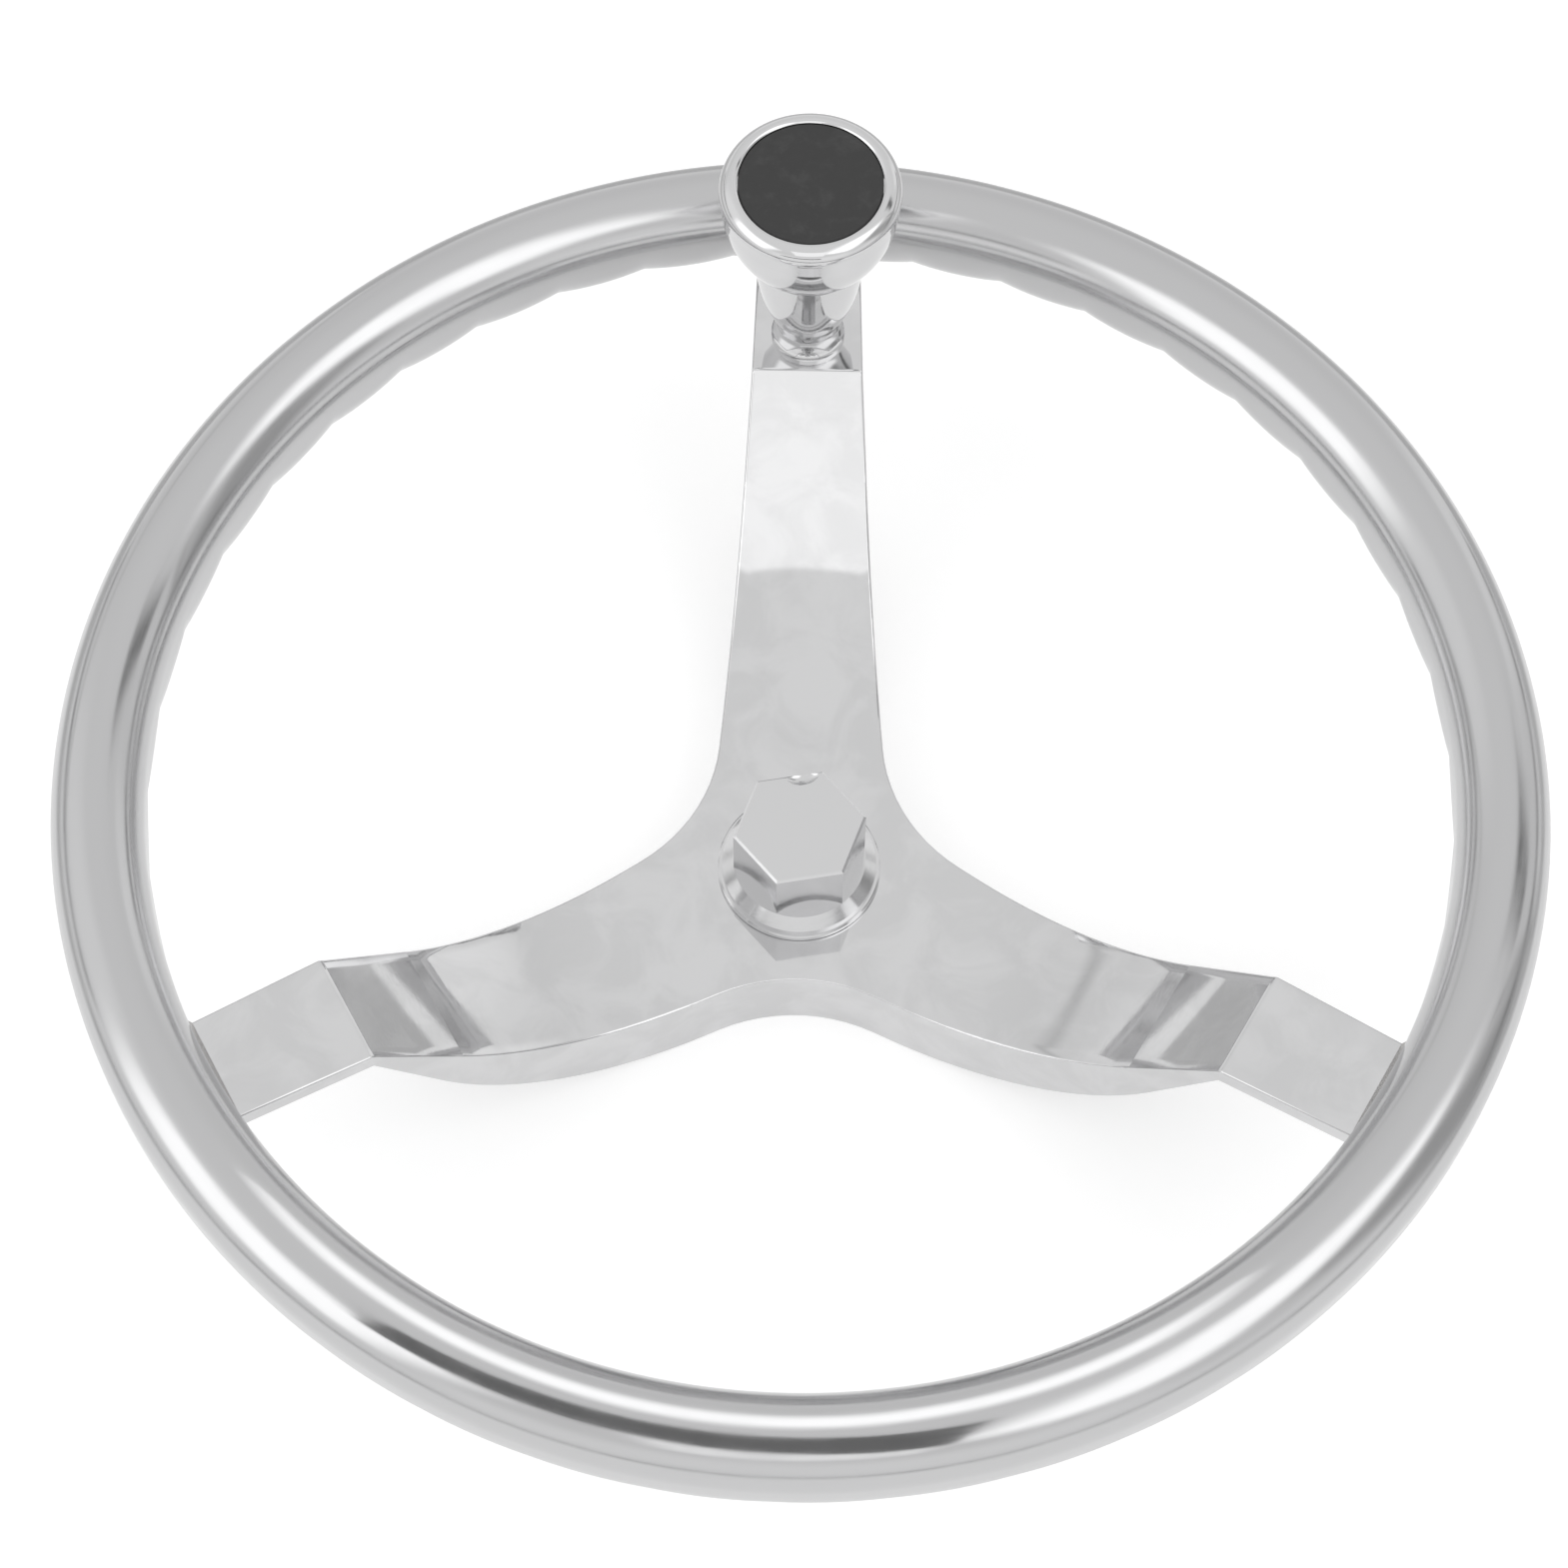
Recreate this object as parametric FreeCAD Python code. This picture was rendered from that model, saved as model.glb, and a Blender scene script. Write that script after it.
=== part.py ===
import FreeCAD, Part
import math
import os
from FreeCAD import Vector

# Boat steering wheel with three dished arms and a turning knob on one of them.
# The origin is the middle of the hub's back face, where it seats on the helm's shaft.
# +Z points at the helmsman, and the arm with the knob points along +Y.
# All sizes are in millimetres and degrees.
# Levels are counted from the rim's middle plane, and export moves each finished piece up
# so that the hub's back face comes to height 0.

# Rim
wheel_diameter = 394.0          # outside of the rim, 15 1/2 inch
tube_diameter = 24.4
tube_wall = 1.6
grip_count = 42
grip_depth = 3.0                # how far a grip's crest stands below the dip between two grips
grip_crest_drop = 5.0           # straight inner side of the section at a grip's crest
outer_side_drop = 5.0           # straight outer side of the section, which has no grips
grip_first_dip = 2.96           # angle of one dip between grips, from +X
grip_steps = 6                  # sections along one grip

# Three-arm plate
arm_count = 3
dish_depth = 60.5               # from the rim's middle plane down to the plate's flat middle
plate_thickness = 2.5
arm_flat_length = 37.9          # from the rim's inner side in to the fold in each arm
crease_drop = 12.0              # from the rim's middle plane down to the fold
outer_slope = 2.0               # the arm rises this much from the fold to the rim
ramp_slope = 43.0               # the arm falls this much from the fold to the middle
ramp_bend_radius = 98.7         # bend between ramp and flat middle
arm_width_at_crease = 31.8
arm_width_at_rim = 29.4
arm_flare = 4.46                # each side of an arm widens by this angle towards the hub
arm_corner_radius = 50.0        # in plan, between two arms
skirt_depth_at_hub = 23.5
skirt_depth_at_rim = 5.0
skirt_slope = 57.0              # lower edge of the skirt behind the ramp
skirt_bend_radius = 90.0
crest_rounding = 0.7            # along the plate's top edges

# Hub
shaft_taper_large = 19.05       # bore at the back face, 3/4 inch
shaft_taper = 1.0 / 12.0        # of the diameter, per length
boss_diameter = 48.0
boss_spigot_diameter = 28.0     # the part of the boss that fills the plate's hole
key_width = 4.76
key_depth = 2.4                 # past the bore's wall
hub_weld_leg = 3.5

# Cap nut and washer
nut_across_flats = 32.0
nut_hex_height = 18.9           # from the flange's slope to the top
nut_flange_diameter = 43.0
nut_flange_edge = 1.2
nut_flange_slope_height = 3.0
nut_thread_minor = 14.4         # 5/8 inch, 18 threads to the inch
nut_thread_length = 16.0
nut_turn = 10.7                 # angle of one corner, from +X
nut_edge = 0.6
dimple_length = 8.6             # along the flat beside it
dimple_width = 4.6
dimple_depth = 1.2
dimple_inset = 1.2              # from that flat in to the dimple's middle
dimple_shift = 3.4              # from the flat's middle along to the dimple's
washer_diameter = 45.4
washer_thickness = 2.0
washer_bore = 16.6
washer_edge = 0.4

# Knob, measured along its own axis, up from the arm's top face unless said otherwise
neck_base_radius = 10.5
neck_base_edge = 1.0
neck_waist_radius = 9.0
neck_waist_height = 5.5
neck_flare_radius = 10.3        # where the neck starts to spread above its waist
neck_flare_height = 12.0
neck_belly_radius = 12.9
neck_belly_height = 20.5
neck_shoulder_radius = 14.9     # where the neck runs nearly straight up to its top
neck_shoulder_height = 32.4
neck_top_radius = 15.8
neck_height = 42.0
thrust_washer_thickness = 0.5
thrust_washer_inset = 1.0       # how far its edge stands back from the neck's
running_gap = 0.1               # along the axis, between turning and standing faces
bowl_foot_radius = 16.1
bowl_belly_radius = 22.2
bowl_belly_rise = 9.9           # from the bowl's foot
bowl_rim_radius = 24.3
bowl_rim_rise = 10.5            # from the belly to the straight wall
bowl_straight_length = 4.8      # straight wall, up to the seam under the ring
bowl_wall = 2.0
bowl_hub_height = 10.0          # solid foot of the bowl that holds the bushes
ring_overhang = 0.5
ring_lip_height = 4.6
ring_web_thickness = 1.6
ring_spigot_depth = 3.0
ring_spigot_wall = 1.5
disc_diameter = 39.4
disc_thickness = 1.8
disc_clearance = 0.2            # around the disc, in its recess
disc_depth_below_lip = 0.5
disc_edge = 0.3
ring_crest_share = 0.3          # where the lip is highest, from its inner to its outer edge
journal_diameter = 10.0         # stud where the bushes turn
bush_clearance = 0.03           # radial, a running fit
bush_outer_diameter = 16.0
bush_flange_diameter = 20.0
bush_flange_thickness = 1.5
lower_bush_length = 4.8
stud_collar_diameter = 15.6
stud_collar_thickness = 2.5
collar_clearance = 0.2
stud_diameter = 9.53            # 3/8 inch, through the neck and the arm
stud_hole_clearance = 0.25
retainer_thread_diameter = 8.0
retainer_washer_diameter = 18.0
retainer_washer_thickness = 1.5
retainer_nut_flats = 13.0
retainer_nut_height = 8.0
thread_stick_out = 2.0
thread_chamfer = 0.8
stud_washer_diameter = 20.0
stud_washer_thickness = 2.0
stud_washer_fold_gap = 1.8786   # from the fold under the arm to the washer's edge
stud_washer_end_gap = 5.0       # from the washer's edge to the arm's solid end
spring_washer_diameter = 16.4
spring_washer_thickness = 2.2
spring_washer_split = 1.6
stud_nut_flats = 14.3
stud_nut_height = 8.3
spoke_weld_leg = 1.6

# Sizes that follow from the ones above
tube_radius = tube_diameter / 2
rim_radius = wheel_diameter / 2 - tube_radius
middle_level = -dish_depth
back_level = middle_level - skirt_depth_at_hub
crease_level = -crease_drop
rim_inner_radius = rim_radius - tube_radius
crease_radius = rim_inner_radius - arm_flat_length
outer_tan = math.tan(math.radians(outer_slope))
grip_angle = 360.0 / grip_count
arm_angles = [90.0 + 360.0 * k / arm_count for k in range(arm_count)]
foot_height = neck_height + thrust_washer_thickness + running_gap
belly_height = foot_height + bowl_belly_rise
straight_height = belly_height + bowl_rim_rise
seam_height = straight_height + bowl_straight_length
floor_height = foot_height + bowl_hub_height
shoulder_height = floor_height + bush_flange_thickness + running_gap
nut_seat = -plate_thickness - stud_washer_thickness - spring_washer_thickness
mid_arc = math.sqrt(0.5)
cut_over = 5.0                  # how far a cutting shape runs past what it cuts
up = Vector(0, 0, 1)


def export(name, shape):
    raised = shape.copy()
    raised.translate(Vector(0, 0, -back_level))
    raised.exportStep("parts/%s.step" % name)


def turned(shape, angle):
    copy = shape.copy()
    copy.rotate(Vector(0, 0, 0), up, angle)
    return copy


def wire_of(edges):
    return Part.Wire(Part.__sortEdges__(edges))


def line(a, b):
    return Part.makeLine(a, b)


def arc(a, middle, b):
    return Part.Arc(a, middle, b).toShape()


def spin(edges):
    """Solid of revolution about Z of a closed outline in the XZ plane."""
    return Part.Face(wire_of(edges)).revolve(Vector(0, 0, 0), up, 360)


def spin_points(points):
    """Solid of revolution about Z of a polygon given as (radius, height)."""
    corners = [Vector(r, 0, h) for r, h in points]
    return Part.Face(Part.makePolygon(corners + corners[:1])).revolve(Vector(0, 0, 0), up, 360)


def tube(outer_radius, inner_radius, bottom, height):
    outside = Part.makeCylinder(outer_radius, height, Vector(0, 0, bottom))
    return outside.cut(Part.makeCylinder(inner_radius, height, Vector(0, 0, bottom)))


def hexagon(across_flats, height, bottom, corner_angle):
    corner = across_flats / math.sqrt(3)
    points = []
    for k in range(7):
        angle = math.radians(corner_angle + 60 * k)
        points.append(Vector(corner * math.cos(angle), corner * math.sin(angle), bottom))
    return Part.Face(Part.makePolygon(points)).extrude(Vector(0, 0, height))


def shifted_crease(offset):
    """Corner of the fold after both its faces move down square to themselves by an offset."""
    ramp = math.radians(ramp_slope)
    outer = math.radians(outer_slope)
    half_turn = (ramp - outer) / 2
    direction = (ramp + outer) / 2 - math.pi / 2
    reach = offset / math.cos(half_turn)
    return (crease_radius + reach * math.cos(direction),
            crease_level + reach * math.sin(direction))


def knob_reach():
    """Distance of the knob's axis from the hub's: its washer just clears the fold underneath."""
    fold = shifted_crease(plate_thickness)[0]
    return fold + stud_washer_fold_gap + stud_washer_diameter / 2


def on_arm(shape):
    """Moves a shape from the origin to the knob's place, square to the arm's top face."""
    copy = shape.copy()
    copy.rotate(Vector(0, 0, 0), Vector(1, 0, 0), outer_slope)
    level = crease_level + (knob_reach() - crease_radius) * outer_tan
    copy.translate(Vector(0, knob_reach(), level))
    return copy


# Rim: one closed tube, with a row of convex grips along the inside of its underside

def grip_drop(angle):
    """Length of the section's straight inner side at an angle from the middle of a grip."""
    half_pitch = rim_radius * math.radians(grip_angle / 2)
    bump_radius = (half_pitch ** 2 + grip_depth ** 2) / (2 * grip_depth)
    along = rim_radius * math.radians(angle)
    return grip_crest_drop - bump_radius + math.sqrt(bump_radius ** 2 - along ** 2)


def quarter_ellipse(side, corner, bottom):
    """Edge that leaves one point towards the corner and reaches the other level with it."""
    curve = Part.BezierCurve()
    curve.setPoles([side, corner, bottom])
    curve.setWeight(2, math.sqrt(0.5))
    return curve.toShape()


def rim_section(angle, inset):
    """Closed section of the rim in the XZ plane: round top, straight sides, oval bottom."""
    half = tube_radius - inset
    drop = grip_drop(angle)
    depth = (drop + outer_side_drop) / 2 + half
    inner = Vector(rim_radius - half, 0, 0)
    outer = Vector(rim_radius + half, 0, 0)
    low_inner = inner - Vector(0, 0, drop)
    low_outer = outer - Vector(0, 0, outer_side_drop)
    bottom = Vector(rim_radius, 0, -depth)
    return Part.Wire([
        arc(inner, Vector(rim_radius, 0, half), outer),
        line(outer, low_outer),
        quarter_ellipse(low_outer, Vector(low_outer.x, 0, -depth), bottom),
        quarter_ellipse(bottom, Vector(low_inner.x, 0, -depth), low_inner),
        line(low_inner, inner)])


def rim_body(inset):
    """The rim's skin moved in by an inset, as a solid: one grip repeated around the wheel."""
    sections = []
    for k in range(grip_steps + 1):
        angle = grip_angle * (k / grip_steps - 0.5)
        sections.append(turned(rim_section(angle, inset), angle))
    grip = Part.makeLoft(sections, False, False)
    faces = []
    for k in range(grip_count):
        turn = grip_first_dip + grip_angle * (k + 0.5)
        faces.extend(turned(face, turn) for face in grip.Faces)
    skin = Part.makeCompound(faces)
    skin.sewShape()
    solid = Part.makeSolid(skin.Shells[0])
    if solid.Volume < 0:
        solid.reverse()
    return solid


# Three-arm plate

def arm_profile(level, crease, ramp_radius, ramp_angle, length):
    """Edges of an arm's side line from the hub out, in the XZ plane."""
    tangent = math.tan(math.radians(ramp_angle))
    foot = crease[0] - (crease[1] - level) / tangent
    reach = ramp_radius * math.tan(math.radians(ramp_angle / 2))
    half = math.radians(ramp_angle / 2)
    start = Vector(0, 0, level)
    flat_end = Vector(foot - reach, 0, level)
    middle = Vector(flat_end.x + ramp_radius * math.sin(half), 0,
                    level + ramp_radius * (1 - math.cos(half)))
    ramp_start = Vector(foot + reach * math.cos(2 * half), 0, level + reach * math.sin(2 * half))
    fold = Vector(crease[0], 0, crease[1])
    end = Vector(length, 0, crease[1] + (length - crease[0]) * outer_tan)
    edges = [line(start, flat_end), arc(flat_end, middle, ramp_start), line(ramp_start, fold),
             line(fold, end)]
    return edges, start, end


def arm_slab(top, bottom, half_width):
    """Solid between two side lines, from the hub's axis out along +X."""
    top_edges, top_start, top_end = top
    bottom_edges, bottom_start, bottom_end = bottom
    closing = [line(top_start, bottom_start), line(top_end, bottom_end)]
    face = Part.Face(wire_of(top_edges + bottom_edges + closing))
    face.translate(Vector(0, -half_width, 0))
    return face.extrude(Vector(0, 2 * half_width, 0))


def plan_face(inset, end_radius):
    """Y-shaped outline in the XY plane, its sides moved in by an inset."""
    flare = math.tan(math.radians(arm_flare))
    at_crease = arm_width_at_crease / 2 - inset / math.cos(math.radians(arm_flare))
    at_rim = arm_width_at_rim / 2 - inset
    sector = math.radians(180.0 / arm_count)
    corner_along = (at_crease + crease_radius * flare) / (math.tan(sector) + flare)
    corner_across = corner_along * math.tan(sector)
    share = (end_radius - crease_radius) / (rim_radius - crease_radius)
    at_end = at_crease + (at_rim - at_crease) * share
    points = []
    for angle in arm_angles:
        for along, across in ((corner_along, -corner_across), (crease_radius, -at_crease),
                              (end_radius, -at_end), (end_radius, at_end),
                              (crease_radius, at_crease)):
            point = Vector(along, across, 0)
            place = FreeCAD.Rotation(up, angle)
            points.append(place.multVec(point))
    return Part.Face(Part.makePolygon(points + points[:1])), math.hypot(corner_along, corner_across)


def plan_prism(inset, end_radius, bottom, top):
    """The outline as an upright solid, with its inner corners rounded."""
    face, corner_distance = plan_face(inset, end_radius)
    face.translate(Vector(0, 0, bottom))
    prism = face.extrude(Vector(0, 0, top - bottom))
    corners = []
    for edge in prism.Edges:
        middle = edge.CenterOfMass
        is_upright = abs(edge.BoundBox.ZLength - (top - bottom)) < 0.01
        if is_upright and abs(math.hypot(middle.x, middle.y) - corner_distance) < 0.01:
            corners.append(edge)
    return prism.makeFillet(arm_corner_radius + inset, corners)


def all_arms(slab):
    arms = [turned(slab, angle) for angle in arm_angles]
    return arms[0].multiFuse(arms[1:]).removeSplitter()


def is_top_face(face):
    low, high, left, right = face.ParameterRange
    normal = face.normalAt((low + high) / 2, (left + right) / 2)
    return normal.z > 0.3


def top_edges(solid):
    """Outline edges of the plate's upper faces, without the folds between two of them."""
    uses = {}
    for face in solid.Faces:
        if is_top_face(face):
            for edge in face.Edges:
                uses.setdefault(edge.hashCode(), [edge, 0])[1] += 1
    outline = []
    for edge, count in uses.values():
        reach = math.hypot(edge.CenterOfMass.x, edge.CenterOfMass.y)
        if count == 1 and reach < rim_radius - 1:
            outline.append(edge)
    return outline


def make_spider(rim):
    slab_half = arm_width_at_crease + arm_corner_radius
    skirt_crease = (crease_radius, crease_level - skirt_depth_at_rim)
    top = arm_profile(middle_level, (crease_radius, crease_level), ramp_bend_radius, ramp_slope,
                      rim_radius)
    bottom = arm_profile(back_level, skirt_crease, skirt_bend_radius, skirt_slope, rim_radius)
    body = all_arms(arm_slab(top, bottom, slab_half))
    outside = body.common(plan_prism(0, rim_radius, back_level - cut_over, tube_radius))
    outside = outside.removeSplitter()
    outside = outside.makeFillet(crest_rounding, top_edges(outside))

    under = arm_profile(middle_level - plate_thickness, shifted_crease(plate_thickness),
                        ramp_bend_radius + plate_thickness, ramp_slope, rim_radius)
    deep = back_level - cut_over
    floor_end = Vector(rim_radius, 0, deep)
    floor_start = Vector(0, 0, deep)
    floor = ([line(floor_start, floor_end)], floor_start, floor_end)
    hollow = all_arms(arm_slab(under, floor, slab_half))
    hollow_end = knob_reach() + stud_washer_diameter / 2 + stud_washer_end_gap
    inside = hollow.common(plan_prism(plate_thickness, hollow_end, deep, tube_radius))

    spider = outside.cut(inside)
    through = plate_thickness + 2 * cut_over
    spigot_hole = Part.makeCylinder(boss_spigot_diameter / 2, through,
                                    Vector(0, 0, middle_level - plate_thickness - cut_over))
    stud_hole = Part.makeCylinder(stud_diameter / 2 + stud_hole_clearance, through,
                                  Vector(0, 0, -plate_thickness - cut_over))
    return spider.cut(spigot_hole).cut(on_arm(stud_hole)).cut(rim)


def make_spoke_welds(rim, spider):
    """Beads around the arms' ends, where they meet the rim, in the order of the arms."""
    contact = arm_flat_length
    half = arm_width_at_rim / 2
    outlines = []
    for along, grow in ((contact - spoke_weld_leg, 0), (contact, spoke_weld_leg),
                        (contact + tube_radius / 2, spoke_weld_leg)):
        side = half + grow
        top = grow
        low = -skirt_depth_at_rim - grow
        corners = [Vector(along, -side, low), Vector(along, side, low),
                   Vector(along, side, top), Vector(along, -side, top)]
        outlines.append(Part.makePolygon(corners + corners[:1]))
    collar = Part.makeLoft(outlines, True, True)
    collar.rotate(Vector(0, 0, 0), Vector(0, 1, 0), -outer_slope)
    collar.translate(Vector(crease_radius, 0, crease_level))
    return [turned(collar, angle).cut(spider).cut(rim) for angle in arm_angles]


# Hub

def make_hub_boss():
    length = middle_level - back_level
    small_radius = shaft_taper_large / 2 - length * shaft_taper / 2
    shoulder = middle_level - plate_thickness
    body = Part.makeCylinder(boss_diameter / 2, shoulder - back_level, Vector(0, 0, back_level))
    spigot = Part.makeCylinder(boss_spigot_diameter / 2, length, Vector(0, 0, back_level))
    boss = body.fuse(spigot).removeSplitter()
    bore = Part.makeCone(shaft_taper_large / 2, small_radius, length, Vector(0, 0, back_level))
    key = Part.makeBox(key_width, shaft_taper_large / 2 + key_depth, length,
                       Vector(-key_width / 2, 0, back_level))
    return boss.cut(bore).cut(key)


def make_hub_weld():
    shoulder = middle_level - plate_thickness
    edge = boss_diameter / 2
    return spin_points([(edge, shoulder), (edge + hub_weld_leg, shoulder),
                        (edge, shoulder - hub_weld_leg)])


def make_nut_washer():
    outer = washer_diameter / 2
    inner = washer_bore / 2
    low = middle_level
    high = middle_level + washer_thickness
    return spin_points([(inner, low), (outer - washer_edge, low), (outer, low + washer_edge),
                        (outer, high - washer_edge), (outer - washer_edge, high), (inner, high)])


def make_dimple(top):
    """Long oval body that presses the dimple into a top face, beside the nut's back flat."""
    end_radius = (dimple_length ** 2 / 4 + dimple_depth ** 2) / (2 * dimple_depth)
    side_radius = (dimple_width ** 2 / 4 + dimple_depth ** 2) / (2 * dimple_depth)
    half = math.sqrt(side_radius * (2 * end_radius - side_radius))
    left, right = Vector(-half, 0, 0), Vector(half, 0, 0)
    outline = wire_of([arc(left, Vector(0, 0, -side_radius), right), line(right, left)])
    body = Part.Face(outline).revolve(Vector(0, 0, 0), Vector(1, 0, 0), 360)
    body.translate(Vector(dimple_shift, nut_across_flats / 2 - dimple_inset,
                          top + side_radius - dimple_depth))
    return turned(body, nut_turn)


def make_cap_nut():
    seat = middle_level + washer_thickness
    flange = nut_flange_diameter / 2
    slope_top = nut_flange_edge + nut_flange_slope_height
    corner = nut_across_flats / math.sqrt(3)
    skirt = spin_points([(0, seat), (flange, seat), (flange, seat + nut_flange_edge),
                         (corner, seat + slope_top), (0, seat + slope_top)])
    head = hexagon(nut_across_flats, slope_top + nut_hex_height, seat, nut_turn)
    top = seat + slope_top + nut_hex_height
    rim_edges = [edge for edge in head.Edges if abs(edge.CenterOfMass.z - top) < 0.01]
    nut = skirt.fuse(head.makeChamfer(nut_edge, rim_edges)).removeSplitter()
    thread = nut_thread_minor / 2
    bore = spin_points([(0, seat), (thread, seat), (thread, seat + nut_thread_length),
                        (0, seat + nut_thread_length + thread / 2)])
    return nut.cut(bore).cut(make_dimple(top))


# Knob, built upright at the origin with the arm's top face at height 0

def knob_outline(points):
    """Smooth edge through points given as (radius, height)."""
    curve = Part.BSplineCurve()
    curve.interpolate([Vector(r, 0, h) for r, h in points])
    return curve.toShape()


def closed_spin(curve, start, end, others):
    """Revolves a smooth edge from start to end, closed by straight edges through others."""
    corners = [Vector(r, 0, h) for r, h in [end] + others + [start]]
    edges = [line(a, b) for a, b in zip(corners[:-1], corners[1:])]
    return spin([curve] + edges)


def make_neck():
    bore = stud_diameter / 2 + stud_hole_clearance
    pocket = stud_collar_diameter / 2 + collar_clearance
    start = (neck_base_radius, neck_base_edge)
    end = (neck_top_radius, neck_height)
    curve = knob_outline([start, (neck_waist_radius, neck_waist_height),
                          (neck_flare_radius, neck_flare_height),
                          (neck_belly_radius, neck_belly_height),
                          (neck_shoulder_radius, neck_shoulder_height), end])
    shelf = neck_height - stud_collar_thickness
    return closed_spin(curve, start, end, [(pocket, neck_height), (pocket, shelf), (bore, shelf),
                                           (bore, 0), (neck_base_radius, 0)])


def make_thrust_washer():
    return tube(neck_top_radius - thrust_washer_inset, journal_diameter / 2 + collar_clearance,
                neck_height, thrust_washer_thickness)


def make_bowl():
    start = (bowl_foot_radius, foot_height)
    end = (bowl_rim_radius, straight_height)
    curve = knob_outline([start, (bowl_belly_radius, belly_height), end])
    bore = bush_outer_diameter / 2
    inner = bowl_rim_radius - bowl_wall
    floor_radius = bowl_belly_radius - 2 * bowl_wall
    return closed_spin(curve, start, end, [(bowl_rim_radius, seam_height), (inner, seam_height),
                                           (inner, straight_height - bowl_wall),
                                           (floor_radius, floor_height), (bore, floor_height),
                                           (bore, foot_height)])


def make_lower_bush():
    return tube(bush_outer_diameter / 2, journal_diameter / 2 + bush_clearance, foot_height,
                lower_bush_length)


def make_upper_bush():
    inner = journal_diameter / 2 + bush_clearance
    outer = bush_outer_diameter / 2
    flange = bush_flange_diameter / 2
    low = floor_height - lower_bush_length
    high = floor_height + bush_flange_thickness
    return spin_points([(inner, low), (outer, low), (outer, floor_height), (flange, floor_height),
                        (flange, high), (inner, high)])


def make_top_ring():
    outer = bowl_rim_radius + ring_overhang
    spigot = bowl_rim_radius - bowl_wall
    pocket = disc_diameter / 2 + disc_clearance
    low = seam_height - ring_spigot_depth
    floor = seam_height + ring_lip_height - disc_thickness - disc_depth_below_lip
    web = floor - ring_web_thickness
    crest = seam_height + ring_lip_height
    crest_radius = pocket + ring_crest_share * (outer - pocket)
    middle = crest - ring_lip_height * (1 - mid_arc)
    side = crest_radius + (outer - crest_radius) * mid_arc
    roll = crest - disc_depth_below_lip
    edges = [arc(Vector(outer, 0, seam_height), Vector(side, 0, middle),
                 Vector(crest_radius, 0, crest)),
             arc(Vector(crest_radius, 0, crest),
                 Vector(pocket + (crest_radius - pocket) * (1 - mid_arc), 0,
                        crest - disc_depth_below_lip * (1 - mid_arc)),
                 Vector(pocket, 0, roll))]
    corners = [(pocket, roll), (pocket, floor), (0, floor), (0, web),
               (spigot - ring_spigot_wall, web), (spigot - ring_spigot_wall, low), (spigot, low),
               (spigot, seam_height), (outer, seam_height)]
    points = [Vector(r, 0, h) for r, h in corners]
    edges.extend(line(a, b) for a, b in zip(points[:-1], points[1:]))
    return spin(edges)


def make_cap_disc():
    top = seam_height + ring_lip_height - disc_depth_below_lip
    radius = disc_diameter / 2
    low = top - disc_thickness
    return spin_points([(0, low), (radius, low), (radius, top - disc_edge),
                        (radius - disc_edge, top), (0, top)])


def make_stud():
    shank = stud_diameter / 2
    collar = stud_collar_diameter / 2
    journal = journal_diameter / 2
    thread = retainer_thread_diameter / 2
    tip = nut_seat - stud_nut_height - thread_stick_out
    crown = shoulder_height + retainer_washer_thickness + retainer_nut_height + thread_stick_out
    shelf = neck_height - stud_collar_thickness
    return spin_points([(0, tip), (shank - thread_chamfer, tip), (shank, tip + thread_chamfer),
                        (shank, shelf), (collar, shelf), (collar, neck_height),
                        (journal, neck_height), (journal, shoulder_height),
                        (thread, shoulder_height), (thread, crown - thread_chamfer),
                        (thread - thread_chamfer, crown), (0, crown)])


def make_retainer_washer():
    return tube(retainer_washer_diameter / 2, retainer_thread_diameter / 2 + collar_clearance,
                shoulder_height, retainer_washer_thickness)


def make_retainer_nut():
    seat = shoulder_height + retainer_washer_thickness
    nut = hexagon(retainer_nut_flats, retainer_nut_height, seat, 0)
    return nut.cut(Part.makeCylinder(retainer_thread_diameter / 2, retainer_nut_height,
                                     Vector(0, 0, seat)))


def make_stud_washer():
    return tube(stud_washer_diameter / 2, stud_diameter / 2 + stud_hole_clearance,
                -plate_thickness - stud_washer_thickness, stud_washer_thickness)


def make_spring_washer():
    ring = tube(spring_washer_diameter / 2, stud_diameter / 2 + collar_clearance, nut_seat,
                spring_washer_thickness)
    split = Part.makeBox(spring_washer_diameter, spring_washer_split, spring_washer_thickness,
                         Vector(0, -spring_washer_split / 2, nut_seat))
    return ring.cut(split)


def make_stud_nut():
    bottom = nut_seat - stud_nut_height
    nut = hexagon(stud_nut_flats, stud_nut_height, bottom, 0)
    return nut.cut(Part.makeCylinder(stud_diameter / 2, stud_nut_height, Vector(0, 0, bottom)))


def main():
    os.makedirs("parts", exist_ok=True)
    rim = rim_body(0)
    spider = make_spider(rim)
    export("rim_tube", rim.cut(rim_body(tube_wall)))
    export("spoke_spider", spider)
    weld_names = ("knob_spoke_weld", "left_spoke_weld", "right_spoke_weld")
    for name, bead in zip(weld_names, make_spoke_welds(rim, spider)):
        export(name, bead)
    export("hub_boss", make_hub_boss())
    export("hub_weld", make_hub_weld())
    export("nut_washer", make_nut_washer())
    export("cap_nut", make_cap_nut())
    knob_pieces = {
        "knob_neck": make_neck(),
        "knob_thrust_washer": make_thrust_washer(),
        "knob_bowl": make_bowl(),
        "knob_lower_bush": make_lower_bush(),
        "knob_upper_bush": make_upper_bush(),
        "knob_top_ring": make_top_ring(),
        "knob_cap_disc": make_cap_disc(),
        "knob_stud": make_stud(),
        "knob_retainer_washer": make_retainer_washer(),
        "knob_retainer_nut": make_retainer_nut(),
        "stud_washer": make_stud_washer(),
        "stud_spring_washer": make_spring_washer(),
        "stud_nut": make_stud_nut(),
    }
    for name, shape in knob_pieces.items():
        export(name, on_arm(shape))


main()
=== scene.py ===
import math

import bpy
from mathutils import Matrix, Vector


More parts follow.
